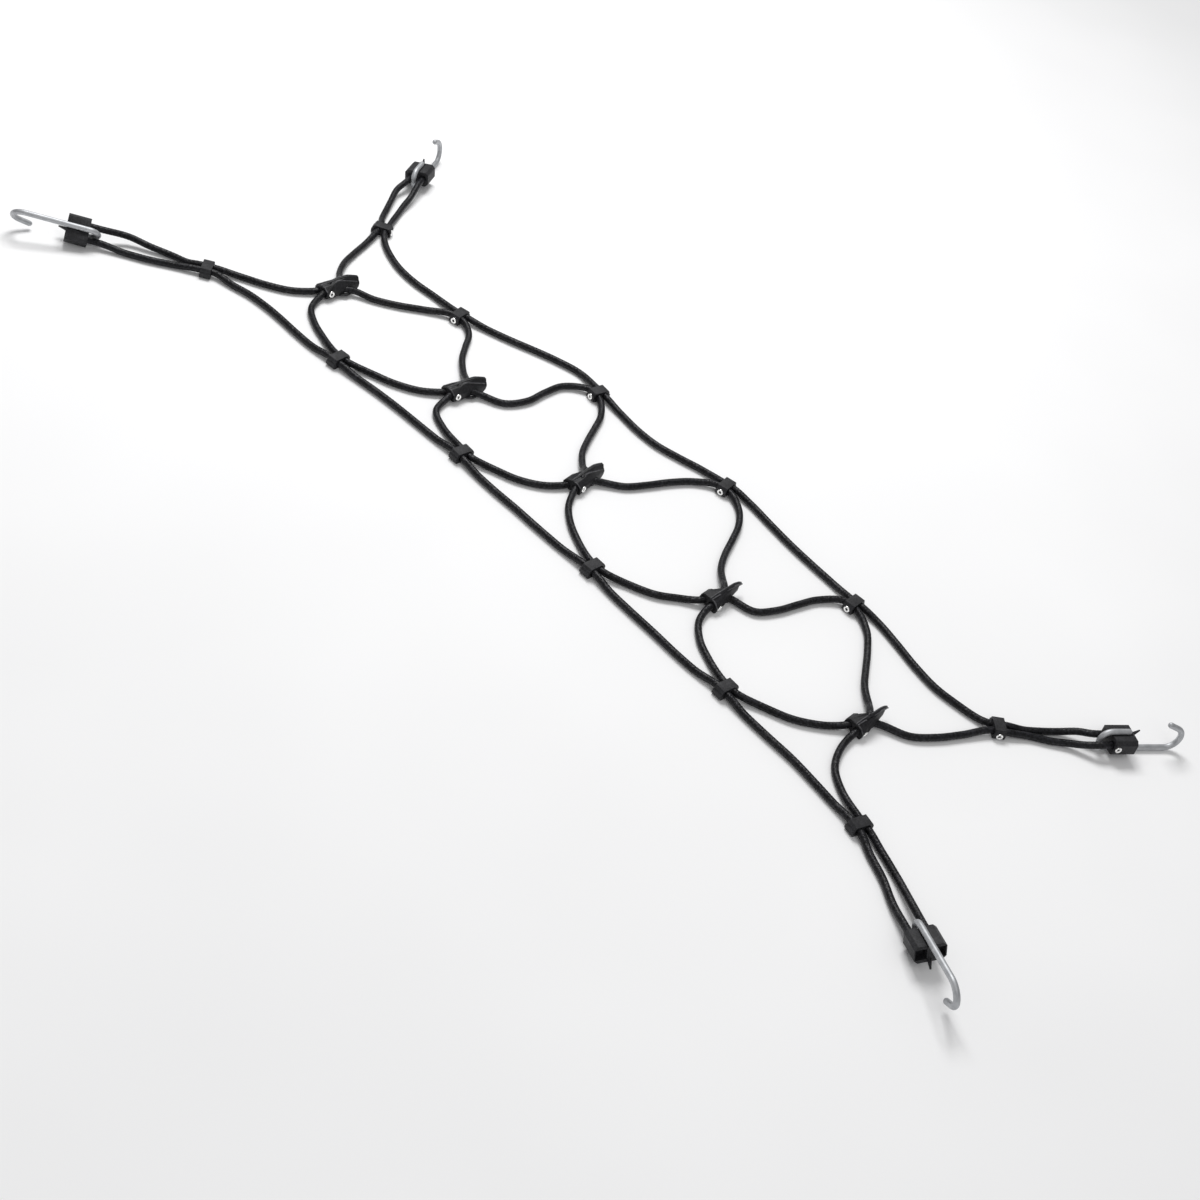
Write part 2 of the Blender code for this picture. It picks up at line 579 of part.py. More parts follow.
def build_centre(name, lines):
    frame = centre_frame(name)
    mesh = centre_shell(*CENTRES[name][4:]).copy()
    mesh.transform(scaled(frame))
    made = bpy.data.objects.new("clip_" + name, mesh)
    PARTS.objects.link(made)
    mesh.materials.clear()
    mesh.materials.append(PLASTIC)
    cut_channels(made, frame, lines, 34.0, cords_at("cross", name))
    face = Vector((CENTRE_RIVET_X, CENTRE_RIVET_Y, CENTRE_RIVET_Z))
    out = frame @ Matrix.Translation(face) @ turned_plane((0, 1, 0), (0, 0, 1))
    cut_seat(made, out)
    rivet("rivet_" + name, out)


def build_block(name, lines):
    frame = hook_frame(name)
    section = frame @ turned_plane((0, 1, 0), (0, 0, 1))
    low, high = BLOCK_CENTRE_X - BLOCK_HALF_LENGTH, BLOCK_CENTRE_X + BLOCK_HALF_LENGTH
    made = prism("block_" + name, BLOCK_OUTLINE, low, high, section, PARTS)
    made.data.materials.append(PLASTIC)
    spike = spike_of(name, frame)
    boolean(made, spike, "UNION")
    for side in (-1, 1):
        bottom, top = sorted((side * BLOCK_GROOVE_BOTTOM, side * 12.0))
        groove = box(
            f"groove_{name}_{side}", (low - 3, bottom, -BLOCK_GROOVE_HALF_WIDTH),
            (high + (3 if side < 0 else -1.6), top, BLOCK_GROOVE_HALF_WIDTH), frame, CUTTERS,
        )
        boolean(made, groove, "DIFFERENCE")
        depth, half_y, half_z = BLOCK_POCKET
        pocket = box(
            f"pocket_{name}_{side}", (high - depth, -half_y, side * BLOCK_POCKET_Z - half_z),
            (high + 3, half_y, side * BLOCK_POCKET_Z + half_z), frame, CUTTERS,
        )
        boolean(made, pocket, "DIFFERENCE")
    cut_channels(made, frame, lines, 30.0, cords_at("block", name))
    side = HOOKS[name][6]
    face = Vector((BLOCK_RIVET_X, 0.0, side * BLOCK_OUTLINE[2][1]))
    out = frame @ Matrix.Translation(face) @ turned_plane((1, 0, 0), (0, side, 0))
    cut_seat(made, out)
    rivet("rivet_block_" + name, out)


def spike_of(name, frame):
    """The small point in front of the wire's tail."""
    base, tip = Vector(SPIKE_BASE), Vector(SPIKE_TIP)
    work = bmesh.new()
    ahead = (tip - base).normalized()
    rotation = ahead.to_track_quat("Z", "Y").to_matrix().to_4x4()
    middle = Matrix.Translation((base + tip) / 2 * MM) @ rotation
    bmesh.ops.create_cone(
        work, cap_ends=True, segments=6, radius1=1.9 * MM, radius2=0.7 * MM, depth=(tip - base).length * MM,
        matrix=scaled(frame) @ middle,
    )
    mesh = bpy.data.meshes.new(f"spike_{name}")
    work.to_mesh(mesh)
    work.free()
    made = bpy.data.objects.new(f"spike_{name}", mesh)
    CUTTERS.objects.link(made)
    return made


def wire_line():
    """The wire's middle line in the block's x-y plane, from the tail's end to the hook's tip."""
    points = [Vector((WIRE_TAIL_X, WIRE_OFFSET, 0.0)), Vector((6.0, WIRE_OFFSET, 0.0))]
    for i in range(9):
        a = math.pi * i / 8
        points.append(Vector((WIRE_REAR_X - WIRE_OFFSET * math.sin(a), WIRE_OFFSET * math.cos(a), 0.0)))
    points += [Vector((x, -WIRE_OFFSET, 0.0)) for x in (8.0, 18.0, 30.0, 42.0)]
    for i in range(12):
        a = math.radians(WIRE_HOOK_SWEEP) * i / 11
        points.append(Vector((
            WIRE_SHANK_X + WIRE_HOOK_RADIUS * math.sin(a),
            -WIRE_OFFSET + WIRE_HOOK_RADIUS * (1 - math.cos(a)),
            0.0,
        )))
    a = math.radians(WIRE_HOOK_SWEEP)
    points.append(points[-1] + Vector((math.cos(a), math.sin(a), 0.0)) * WIRE_TIP)
    return points


def build_wire(name):
    frame = hook_frame(name)
    made = tube("hook_" + name, [frame @ p for p in wire_line()], WIRE_RADIUS, 3, PARTS)
    made.data.materials.append(METAL)


clear_scene()
PARTS = new_collection("parts")
CUTTERS = new_collection("cutters", hidden=True)
CORD = new_material("cord_black", (0.02, 0.02, 0.022), 0.0, 0.8)
PLASTIC = new_material("plastic_black", (0.03, 0.03, 0.033), 0.0, 0.55)
METAL = new_material("plated_steel", (0.55, 0.56, 0.58), 1.0, 0.35)

CORD_LINES = build_cords()
for clip_name in CLIPS:
    build_clip(clip_name, CORD_LINES)
for centre_name in CENTRES:
    build_centre(centre_name, CORD_LINES)
for hook_name in HOOKS:
    build_block(hook_name, CORD_LINES)
    build_wire(hook_name)
for cutter in CUTTERS.objects:
    cutter.hide_render = True
    cutter.display_type = "WIRE"
for piece in (*PARTS.objects, *CUTTERS.objects):
    piece.data.transform(Matrix.Translation(Vector((-NET_MIDDLE[0], -NET_MIDDLE[1], 0.0)) * MM))
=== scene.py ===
"""Luggage net: the visible model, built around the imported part.

Lengths in the tables are in millimetres and the scene is in metres. +X runs along the net, +Y to its back
side, and the floor is z = 0.
"""
import math

import bmesh
import bpy
import numpy as np
from mathutils import Euler, Matrix, Vector
from mathutils.bvhtree import BVHTree


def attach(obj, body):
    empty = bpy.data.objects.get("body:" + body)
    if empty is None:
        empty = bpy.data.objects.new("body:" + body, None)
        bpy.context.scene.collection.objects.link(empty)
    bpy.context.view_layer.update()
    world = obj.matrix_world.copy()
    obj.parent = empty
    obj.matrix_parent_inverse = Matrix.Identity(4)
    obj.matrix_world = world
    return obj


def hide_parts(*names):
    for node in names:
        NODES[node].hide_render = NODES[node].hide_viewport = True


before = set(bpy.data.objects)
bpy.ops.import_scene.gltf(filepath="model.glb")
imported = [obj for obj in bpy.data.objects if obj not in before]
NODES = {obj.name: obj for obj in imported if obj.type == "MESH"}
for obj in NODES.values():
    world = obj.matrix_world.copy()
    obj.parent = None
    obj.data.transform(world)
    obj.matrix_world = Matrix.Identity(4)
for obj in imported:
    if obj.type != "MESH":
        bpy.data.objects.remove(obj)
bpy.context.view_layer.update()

MM = 0.001

# The middle of the net's box as drawn. The finished net is moved to put it at the origin.
NET_MIDDLE = (1.5, 15.45)

# Cords: 6 mm braided elastic. REST_Z is the height of a cord's middle line on the floor, and ROUTE_STEP is
# how finely its way is sampled.
CORD_RADIUS = 3.0
REST_Z = 3.2
ROUTE_STEP = 1.5

# Side and leg clips: x along the cords, y across them with the rivet end at +y, z up.
CLIP_CORD_XS = (-7.5, 7.5)
CLIP_CORD_Y = 3.9
CLIP_CORD_Z = 4.75
CLIP_RIVET_Y = 9.2
CLIP_RIVET_Z = 3.7

# Centre clips: y along the clip from the front end to the lobe, x across it, z up. A clip that is rolled
# turns about the edge of its lower face.
CENTRE_EDGE_X = 8.5
CENTRE_RIVET = (9.3, -7.5, 4.0)

# Hook block: x towards the hook, y across its thickness towards the wire's tail, z across the two cords.
BLOCK_CORD_XS = (10.5, 0.0, -14.0)
BLOCK_CORD_Z = 6.5
BLOCK_RIVET_X = 0.5
BLOCK_RIVET_Z = 12.2

# Hook wire, in the block's x-y plane: a tail, a half turn behind the block, the shank, and the hook's sweep
# in degrees with its straight tip. Below them are the points that each stretch is drawn through.
WIRE_RADIUS = 2.5
WIRE_OFFSET = 8.8
WIRE_REAR_X = -2.6
WIRE_SHANK_X = 52.6
WIRE_HOOK_RADIUS = 11.1
WIRE_HOOK_SWEEP = 156.0
WIRE_TIP = 12.0
WIRE_TAIL_XS = (14.8, 12.0, 8.0, 3.0)
WIRE_REAR_PARTS = 18
WIRE_SHANK_XS = (4.0, 10.0, 18.0, 26.0, 34.0, 42.0, 48.0)
WIRE_HOOK_PARTS = 24
WIRE_TIP_SHARES = (0.35, 0.7, 1.0)

# Hooks: place of the frame's origin, heading, nose-up pitch and roll in degrees, and 1 where the block's
# rivet is in its +z face or -1 where it is in the other.
HOOKS = {
    # name: x, y, z, heading, pitch, roll, rivet side
    "front_left": (-483.2, -166.0, 11.95, -132.4, 8.0, 217.5, -1),
    "back_left": (-417.8, 185.9, 11.35, 115.3, 0.0, 10.0, -1),
    "back_right": (466.0, 130.9, 11.35, 54.9, 0.0, 3.0, 1),
    "front_right": (480.8, -171.9, 11.7, -36.5, 14.1, 167.4, 1),
}

# Clips that hold two cords side by side: place, heading of the cords in degrees, and 1 where the rivet end
# points to +y of that heading or -1 where it points the other way.
CLIPS = {
    # name: x, y, heading, rivet side
    "leg_front_left": (-396.5, -97.2, 38.0, 1),
    "leg_back_left": (-370.5, 96.2, -60.0, 1),
    "leg_back_right": (397.0, 64.7, 44.0, -1),
    "leg_front_right": (388.1, -118.2, -18.0, 1),
    "front_1": (-235.0, -81.3, 3.0, 1),
    "front_2": (-82.9, -76.2, -6.0, 1),
    "front_3": (80.0, -84.0, -4.0, 1),
    "front_4": (235.6, -95.6, -7.0, 1),
    "back_1": (-229.0, 63.2, 10.0, -1),
    "back_2": (-78.8, 95.2, -10.0, -1),
    "back_3": (74.5, 98.8, 8.0, -1),
    "back_4": (236.2, 77.6, 0.0, -1),
}

# Centre clips: place of the crossing, turn about z and roll about the clip's length in degrees, and the end
# of the lobe, which lies broad side up in some clips and edge on in others.
CENTRES = {
    # name: x, y, turn, roll, lobe
    "centre_1": (-317.6, -15.4, -5.0, -9.0, "broad"),
    "centre_2": (-146.7, -17.5, -8.0, -8.0, "broad"),
    "centre_3": (-1.9, -11.4, 6.0, -4.0, "broad"),
    "centre_4": (162.6, -20.5, 2.0, 12.0, "narrow"),
    "centre_5": (324.0, -29.6, 0.0, 12.0, "narrow"),
}

# Stretches of cord between the clips: x and y, and a height where the cord is off the floor.
STRETCHES = {
    "leg_1_outer": ((-451.5, -146.5), (-434, -134), (-418, -120)),
    "leg_1_inner": ((-465.5, -132.5, 8.2), (-447.5, -121.5, 4.9), (-430.5, -111.5), (-415, -105.5)),
    "front_a": ((-368, -91.5), (-348, -87), (-327, -85.5), (-306, -86), (-285, -87.5), (-262, -88)),
    "front_b": ((-208, -83.5), (-185, -81.5), (-160, -80.5), (-135, -80.5), (-110, -80.5)),
    "front_c": ((-55, -83.5), (-32, -85), (-8, -85.5), (18, -87), (48, -88)),
    "front_d": ((108, -92), (134, -94.5), (160, -96.5), (185, -99), (208, -100)),
    "front_e": ((262, -103.5), (288, -106), (314.5, -108), (338.5, -112), (362, -116.5)),
    "leg_4_outer": ((409.5, -133.5), (430, -144.5), (448.5, -158, 4)),
    "leg_2_outer": ((-397, 157.5, 7.4), (-391, 142.5, 4.8), (-385.5, 131), (-377, 114.5)),
    "leg_2_inner": ((-414.5, 155.5, 7.2), (-405.5, 140, 4.6), (-395.5, 124), (-386, 109.5)),
    "back_a": ((-350, 81.5), (-334, 73.5), (-314, 67), (-290, 64.5), (-262, 66)),
    "back_b": ((-202.5, 74), (-180.5, 81.5), (-158, 90.5), (-136, 98.5), (-110, 104.5)),
    "back_c": ((-50, 94), (-24, 89.5), (0, 89), (24, 94), (47.5, 100)),
    "back_d": ((102, 102.5), (128, 97), (156, 91.5), (184, 87.5), (210, 84.5)),
    "back_e": ((262, 80), (288, 72.5), (312, 64.5), (338, 58.5), (360, 58.5), (378, 60)),
    "leg_3_outer": ((412, 84), (421.5, 95.5), (431.5, 108, 4), (441.5, 117.5, 7.4)),
    "leg_3_inner": ((417.5, 81), (431, 91.5), (443.5, 102.5, 4.4), (455, 110, 7.9)),
    "leg_4_inner": ((414, -124), (436, -134.5, 3.6), (457, -147.5, 6.4)),
    # inner cord 1
    "l1_c1": ((-374.5, -76.5), (-354, -64), (-336.5, -49.5), (-325, -31.5, 3.6)),
    "c1_b1": ((-306, 0.5, 5.2), (-288.5, 10.5), (-270.5, 25), (-254, 42)),
    "b1_c2": ((-205.5, 53), (-192.5, 35.5), (-180, 19, 4.2), (-164.5, 5.5, 4.5)),
    "c2_a2": ((-145, -34.5, 4.3), (-138, -54), (-117, -65)),
    "a2_c3": ((-55, -65.5), (-34, -57), (-16.5, -43), (-6.5, -27, 3.5)),
    "c3_b3": ((9.5, 5.5, 3.8), (23.5, 19.5), (33, 39), (41.5, 60), (52.5, 80)),
    "b3_c4": ((99.5, 87.5), (113.5, 70.5), (123, 50), (131.5, 29.5), (142, 11, 4), (156.5, -4.5, 7.6)),
    "c4_a4": ((167, -35.5, 4.5), (172, -53.5), (187.5, -70.5), (208, -82)),
    "a4_c5": ((265.5, -84), (288, -74), (306, -59), (316.5, -46.5, 4.4)),
    "c5_l3": ((338, -16, 3.9), (357, -6.5), (372, 13), (383, 34)),
    # inner cord 2
    "l2_c1": ((-361, 65), (-354.5, 46), (-346, 25, 4), (-333.5, 7, 5.6)),
    "c1_a1": ((-315, -32, 4.7), (-306.5, -50.5), (-289, -62.5), (-268, -70.5)),
    "a1_c2": ((-206.5, -68), (-185.5, -59.5), (-166.5, -46.5), (-153.5, -29.5, 3.8)),
    "c2_b2": ((-133, -3, 4.2), (-114.5, 8), (-106, 30), (-106.5, 53), (-104, 76.5)),
    "b2_c3": ((-56.5, 75.5), (-46.5, 56), (-37.5, 36.5), (-27, 18, 4), (-12, 2.5, 5.8)),
    "c3_a3": ((3.5, -24.5, 4.8), (14, -43), (31, -58.5), (52, -70.5)),
    "a3_c4": ((109, -72), (130, -61.5), (146, -46), (157, -36, 5.1)),
    "c4_b4": ((172.5, -9.5, 3.7), (191.5, -4), (202, 14.5), (208, 36), (214.5, 56.5)),
    "b4_c5": ((262, 63), (277, 44), (289.5, 24.5), (301.5, 6, 4), (317.5, -11, 6.4)),
    "c5_l4": ((328, -43, 4.8), (330.5, -65), (340.5, -86.5), (359, -101.5)),
}

# Each cord, from hook block to hook block: (what, name, detail). A block entry names the side of the block's
# z axis, a clip entry the side of the clip's y axis, and a crossing entry the high or the low way through.
CORDS = {
    "cord_front_outer": (
        ("block", "front_left", 1), ("free", "leg_1_outer"), ("clip", "leg_front_left", -1),
        ("free", "front_a"), ("clip", "front_1", -1), ("free", "front_b"), ("clip", "front_2", -1),
        ("free", "front_c"), ("clip", "front_3", -1), ("free", "front_d"), ("clip", "front_4", -1),
        ("free", "front_e"), ("clip", "leg_front_right", -1), ("free", "leg_4_outer"),
        ("block", "front_right", -1),
    ),
    "cord_back_outer": (
        ("block", "back_left", 1), ("free", "leg_2_outer"), ("clip", "leg_back_left", 1),
        ("free", "back_a"), ("clip", "back_1", 1), ("free", "back_b"), ("clip", "back_2", 1),
        ("free", "back_c"), ("clip", "back_3", 1), ("free", "back_d"), ("clip", "back_4", 1),
        ("free", "back_e"), ("clip", "leg_back_right", 1), ("free", "leg_3_outer"),
        ("block", "back_right", -1),
    ),
    "cord_inner_1": (
        ("block", "front_left", -1), ("free", "leg_1_inner"), ("clip", "leg_front_left", 1),
        ("free", "l1_c1"), ("cross", "centre_1", "low"), ("free", "c1_b1"), ("clip", "back_1", -1),
        ("free", "b1_c2"), ("cross", "centre_2", "high"), ("free", "c2_a2"), ("clip", "front_2", 1),
        ("free", "a2_c3"), ("cross", "centre_3", "low"), ("free", "c3_b3"), ("clip", "back_3", -1),
        ("free", "b3_c4"), ("cross", "centre_4", "high"), ("free", "c4_a4"), ("clip", "front_4", 1),
        ("free", "a4_c5"), ("cross", "centre_5", "low"), ("free", "c5_l3"), ("clip", "leg_back_right", -1),
        ("free", "leg_3_inner"), ("block", "back_right", 1),
    ),
    "cord_inner_2": (
        ("block", "back_left", -1), ("free", "leg_2_inner"), ("clip", "leg_back_left", -1),
        ("free", "l2_c1"), ("cross", "centre_1", "high"), ("free", "c1_a1"), ("clip", "front_1", 1),
        ("free", "a1_c2"), ("cross", "centre_2", "low"), ("free", "c2_b2"), ("clip", "back_2", -1),
        ("free", "b2_c3"), ("cross", "centre_3", "high"), ("free", "c3_a3"), ("clip", "front_3", 1),
        ("free", "a3_c4"), ("cross", "centre_4", "low"), ("free", "c4_b4"), ("clip", "back_4", -1),
        ("free", "b4_c5"), ("cross", "centre_5", "high"), ("free", "c5_l4"), ("clip", "leg_front_right", 1),
        ("free", "leg_4_inner"), ("block", "front_right", 1),
    ),
}

# Way of the cords through a centre clip, in the clip's own axes. The high cord comes from the lobe's left
# and leaves at the front's right, the low cord the other way.
CROSSINGS = {
    # x, y, z
    "high": ((-3.6, 10.6, 8.6), (0.2, 4.4, 10.3), (2.5, -1.0, 9.7), (3.7, -6.2, 7.1), (3.8, -11.3, 4.8)),
    "low": ((5.7, 8.5, 3.8), (1.3, 3.9, 3.1), (-1.2, -0.3, 2.9), (-3.1, -4.9, 3.3), (-4.4, -11.0, 3.3)),
}


# ---------------------------------------------------------------- places and lines

def hook_frame(name):
    """The 4x4 matrix of a hook: x towards the hook, y in the wire's plane, z across the cords."""
    x, y, z, heading, pitch, roll, _ = HOOKS[name]
    heading, pitch, roll = math.radians(heading), math.radians(pitch), math.radians(roll)
    ahead = Vector((
        math.cos(heading) * math.cos(pitch),
        math.sin(heading) * math.cos(pitch),
        math.sin(pitch),
    ))
    left = Vector((-math.sin(heading), math.cos(heading), 0.0))
    tail_side = ahead.cross(left) * math.cos(roll) + left * math.sin(roll)
    across = ahead.cross(tail_side)
    turned = Matrix((ahead, tail_side, across)).transposed()
    return Matrix.Translation(Vector((x, y, z))) @ turned.to_4x4()


def clip_frame(name):
    x, y, heading, _ = CLIPS[name]
    return Matrix.Translation(Vector((x, y, 0.0))) @ Matrix.Rotation(math.radians(heading), 4, "Z")


def centre_frame(name):
    """A rolled clip is lifted, so that its lower edge stays on the floor."""
    x, y, turn, roll, _ = CENTRES[name]
    lift = CENTRE_EDGE_X * math.sin(math.radians(abs(roll)))
    turned = Euler((0.0, math.radians(roll), math.radians(turn)), "XYZ").to_matrix().to_4x4()
    return Matrix.Translation(Vector((x, y, lift))) @ turned


def face_frame(place, point, x_axis, y_axis):
    """The frame of a face at a point of another frame, whose local x and y are the given axes."""
    x_axis, y_axis = Vector(x_axis), Vector(y_axis)
    turned = Matrix((x_axis, y_axis, x_axis.cross(y_axis))).transposed().to_4x4()
    return place @ Matrix.Translation(Vector(point)) @ turned


def scaled(place):
    """A frame in millimetres, as one in metres, moved with the net to its middle."""
    metres = place.copy()
    metres.translation = centred(place.translation) * MM
    return metres


def centred(point):
    """A point of the tables, still in millimetres, moved with the net to its middle."""
    return point - Vector((*NET_MIDDLE, 0.0))


def route_of(steps):
    """The chosen points that a cord passes through, in millimetres."""
    points = []
    for number, step in enumerate(steps):
        kind, name = step[0], step[1]
        if kind == "free":
            points += [Vector((*point, REST_Z)[:3]) for point in STRETCHES[name]]
        elif kind == "block":
            place = hook_frame(name)
            inside = [place @ Vector((x, 0.0, step[2] * BLOCK_CORD_Z)) for x in BLOCK_CORD_XS]
            points += inside if number == 0 else reversed(inside)
        elif kind == "clip":
            place = clip_frame(name)
            through = [place @ Vector((x, step[2] * CLIP_CORD_Y, CLIP_CORD_Z)) for x in CLIP_CORD_XS]
            points += ordered(through, points)
        else:
            place = centre_frame(name)
            through = [place @ Vector(point) for point in CROSSINGS[step[2]]]
            points += ordered(through, points)
    return points


def ordered(through, before):
    """The points of a passage, starting from the end nearer to the cord so far."""
    if (through[-1] - before[-1]).length < (through[0] - before[-1]).length:
        through = through[::-1]
    return through


def smooth(route):
    """A centripetal Catmull-Rom curve through the route, sampled finely."""
    padded = [2 * route[0] - route[1], *route, 2 * route[-1] - route[-2]]
    fine = []
    for a, b, c, d in zip(padded, padded[1:], padded[2:], padded[3:]):
        knots = [0.0]
        for p, q in ((a, b), (b, c), (c, d)):
            knots.append(knots[-1] + math.sqrt((q - p).length))
        count = max(2, round((c - b).length / ROUTE_STEP))
        for i in range(count):
            t = knots[1] + (knots[2] - knots[1]) * i / count
            ab = a.lerp(b, (t - knots[0]) / (knots[1] - knots[0]))
            bc = b.lerp(c, (t - knots[1]) / (knots[2] - knots[1]))
            cd = c.lerp(d, (t - knots[2]) / (knots[3] - knots[2]))
            abc = ab.lerp(bc, (t - knots[0]) / (knots[2] - knots[0]))
            bcd = bc.lerp(cd, (t - knots[1]) / (knots[3] - knots[1]))
            fine.append(abc.lerp(bcd, (t - knots[1]) / (knots[2] - knots[1])))
    fine.append(route[-1].copy())
    for point in fine:
        point.z = max(point.z, REST_Z)
    return fine


def even(points, step):
    """Points at an even distance along a line of vectors, and how far along each is, as arrays."""
    line = np.array([tuple(p) for p in points])
    along = np.concatenate([[0.0], np.cumsum(np.linalg.norm(np.diff(line, axis=0), axis=1))])
    count = max(2, round(along[-1] / step) + 1)
    at = np.linspace(0.0, along[-1], count)
    return np.stack([np.interp(at, along, line[:, i]) for i in range(3)], axis=1), at


def softened(line, times):
    """The line with its small corners eased, keeping both ends."""
    line = line.copy()
    for _ in range(times):
        line[1:-1] = 0.5 * line[1:-1] + 0.25 * (line[:-2] + line[2:])
    return line


def axes_along(line):
    """Two axes across the line at each point, carried along without twist, and the way ahead."""
    ahead = np.gradient(line, axis=0)
    ahead /= np.linalg.norm(ahead, axis=1)[:, None]
    side = np.empty_like(line)
    start = np.cross(ahead[0], (0.0, 0.0, 1.0))
    side[0] = start / np.linalg.norm(start)
    for i in range(1, len(line)):
        carried = side[i - 1] - ahead[i] * (side[i - 1] @ ahead[i])
        side[i] = carried / np.linalg.norm(carried)
    return side, np.cross(ahead, side), ahead


# ---------------------------------------------------------------- materials

# Scales of the noise in each material: a feature is about 1 / scale metres across.
CORD_BLOTCH, CORD_GLINT_FLECK, CORD_YARN = 90.0, 560.0, 2600.0
PLASTIC_BLOTCH, PLASTIC_WEAR, PLASTIC_SPECK, PLASTIC_CELL = 140.0, 320.0, 700.0, 1500.0
STEEL_CLOUD, STEEL_MARKS = 160.0, 1700.0
FLOOR_CLOUD = 3.0

# Heights of their relief, in metres.
FLECK_RELIEF, YARN_RELIEF, STEEL_RELIEF = 0.0006, 0.00012, 0.00003


class Paint:
    """A material's node tree under construction."""

    def __init__(self, name):
        self.material = bpy.data.materials.new(name)
        self.material.use_nodes = True
        self.tree = self.material.node_tree
        self.shader = self.tree.nodes["Principled BSDF"]

    def node(self, kind, **values):
        made = self.tree.nodes.new(kind)
        for key, value in values.items():
            if key in made.inputs:
                made.inputs[key].default_value = value
            else:
                setattr(made, key, value)
        return made

    def join(self, a, b):
        self.tree.links.new(a, b)

    def fixed(self, **values):
        """Sets the shader's own sockets, named with _ for each space."""
        for key, value in values.items():
            self.shader.inputs[key.replace("_", " ")].default_value = value

    def linked(self, **outputs):
        """Links outputs to the shader's sockets, named in the same way."""
        for key, output in outputs.items():
            self.join(output, self.shader.inputs[key.replace("_", " ")])

    def place(self):
        """Where a point is, in the object's own metres."""
        return self.node("ShaderNodeTexCoord").outputs["Object"]

    def noise(self, vector, scale, detail=3.0, roughness=0.55):
        made = self.node("ShaderNodeTexNoise", Scale=scale, Detail=detail, Roughness=roughness)
        self.join(vector, made.inputs["Vector"])
        return made.outputs["Fac"]

    def ramp(self, value, low, high, stops=(0.35, 0.65)):
        made = self.node("ShaderNodeValToRGB")
        elements = made.color_ramp.elements
        elements[0].position, elements[1].position = stops
        elements[0].color, elements[1].color = (*low, 1.0), (*high, 1.0)
        self.join(value, made.inputs["Fac"])
        return made.outputs["Color"]

    def remap(self, value, low, high):
        made = self.node("ShaderNodeMapRange")
        made.inputs["To Min"].default_value = low
        made.inputs["To Max"].default_value = high
        self.join(value, made.inputs["Value"])
        return made.outputs["Result"]

    def product(self, a, b):
        made = self.node("ShaderNodeMix", data_type="RGBA", blend_type="MULTIPLY")
        made.inputs["Factor"].default_value = 1.0
        self.join(a, made.inputs["A"])
        self.join(b, made.inputs["B"])
        return made.outputs["Result"]

    def bump(self, value, distance, strength=1.0, below=None):
        made = self.node("ShaderNodeBump", Strength=strength, Distance=distance)
        self.join(value, made.inputs["Height"])
        if below is not None:
            self.join(below, made.inputs["Normal"])
        return made.outputs["Normal"]


def cord_material():
    """Black braided yarn with light flecks painted in as glints. One family of its strands is glossier and a
    little lighter, a painted sheen.
    """
    paint = Paint("braided_elastic")
    paint.fixed(Specular_IOR_Level=0.2)
    paint.fixed(Sheen_Weight=0.01, Sheen_Roughness=0.4, Sheen_Tint=(0.62, 0.62, 0.66, 1.0))
    family = paint.node("ShaderNodeAttribute", attribute_name="family").outputs["Fac"]
    here = paint.place()
    blotch = paint.noise(here, CORD_BLOTCH, 2.0)
    glint_fleck = paint.noise(here, CORD_GLINT_FLECK, 1.0)
    yarn = paint.noise(here, CORD_YARN, 2.0)
    base = paint.ramp(blotch, (0.0042, 0.0042, 0.0056), (0.0095, 0.0095, 0.0115))
    # Light flecks painted into the colour as glints of the yarn; the same noise also raises the yarn's
    # relief.
    light = paint.ramp(glint_fleck, (0.3, 0.3, 0.3), (2.2, 2.2, 2.2), (0.40, 0.62))
    # One family of strands painted a little lighter than the other: a painted sheen, where light falls
    # differently on the two families.
    painted_family_sheen = paint.ramp(family, (0.75, 0.75, 0.77), (1.25, 1.25, 1.23), (0.0, 1.0))
    relief = paint.bump(glint_fleck, FLECK_RELIEF, 1.0)
    paint.linked(
        Base_Color=paint.product(paint.product(base, light), painted_family_sheen),
        Roughness=paint.remap(family, 0.48, 0.30),
        Normal=paint.bump(yarn, YARN_RELIEF, 0.7, relief),
    )
    return paint.material


def plastic_material(name, low, high, rough, grain):
    """Moulded black plastic with an eroded grain, and patches where it is a little polished."""
    paint = Paint(name)
    paint.fixed(Specular_IOR_Level=0.26, IOR=1.5)
    here = paint.place()
    blotch = paint.noise(here, PLASTIC_BLOTCH, 3.0)
    wear = paint.noise(here, PLASTIC_WEAR, 4.0, 0.65)
    speck = paint.noise(here, PLASTIC_SPECK, 3.0, 0.7)
    cells = paint.node("ShaderNodeTexVoronoi", Scale=PLASTIC_CELL)
    paint.join(here, cells.inputs["Vector"])
    light = paint.ramp(speck, (0.6, 0.6, 0.6), (1.6, 1.6, 1.62), (0.38, 0.62))
    relief = paint.bump(cells.outputs["Distance"], grain, 0.6)
    paint.linked(
        Base_Color=paint.product(paint.ramp(blotch, low, high), light),
        Roughness=paint.remap(wear, *rough),
        Normal=paint.bump(speck, grain, 0.6, relief),
    )
    return paint.material


def steel_material(name, low, high, rough, metallic=1.0):
    """Plated steel with faint drawing marks and cloudy plating."""
    paint = Paint(name)
    paint.fixed(Metallic=metallic)
    here = paint.place()
    cloud = paint.noise(here, STEEL_CLOUD, 4.0, 0.6)
    marks = paint.noise(here, STEEL_MARKS, 3.0, 0.6)
    paint.linked(
        Base_Color=paint.ramp(cloud, low, high),
        Roughness=paint.remap(marks, *rough),
        Normal=paint.bump(marks, STEEL_RELIEF, 0.5),
    )
    return paint.material


def floor_material():
    paint = Paint("studio_floor")
    paint.fixed(Roughness=0.9, Specular_IOR_Level=0.1)
    cloud = paint.noise(paint.place(), FLOOR_CLOUD, 2.0)
    paint.linked(Base_Color=paint.ramp(cloud, (0.90, 0.90, 0.905), (0.925, 0.925, 0.93)))
    return paint.material


# ---------------------------------------------------------------- meshes

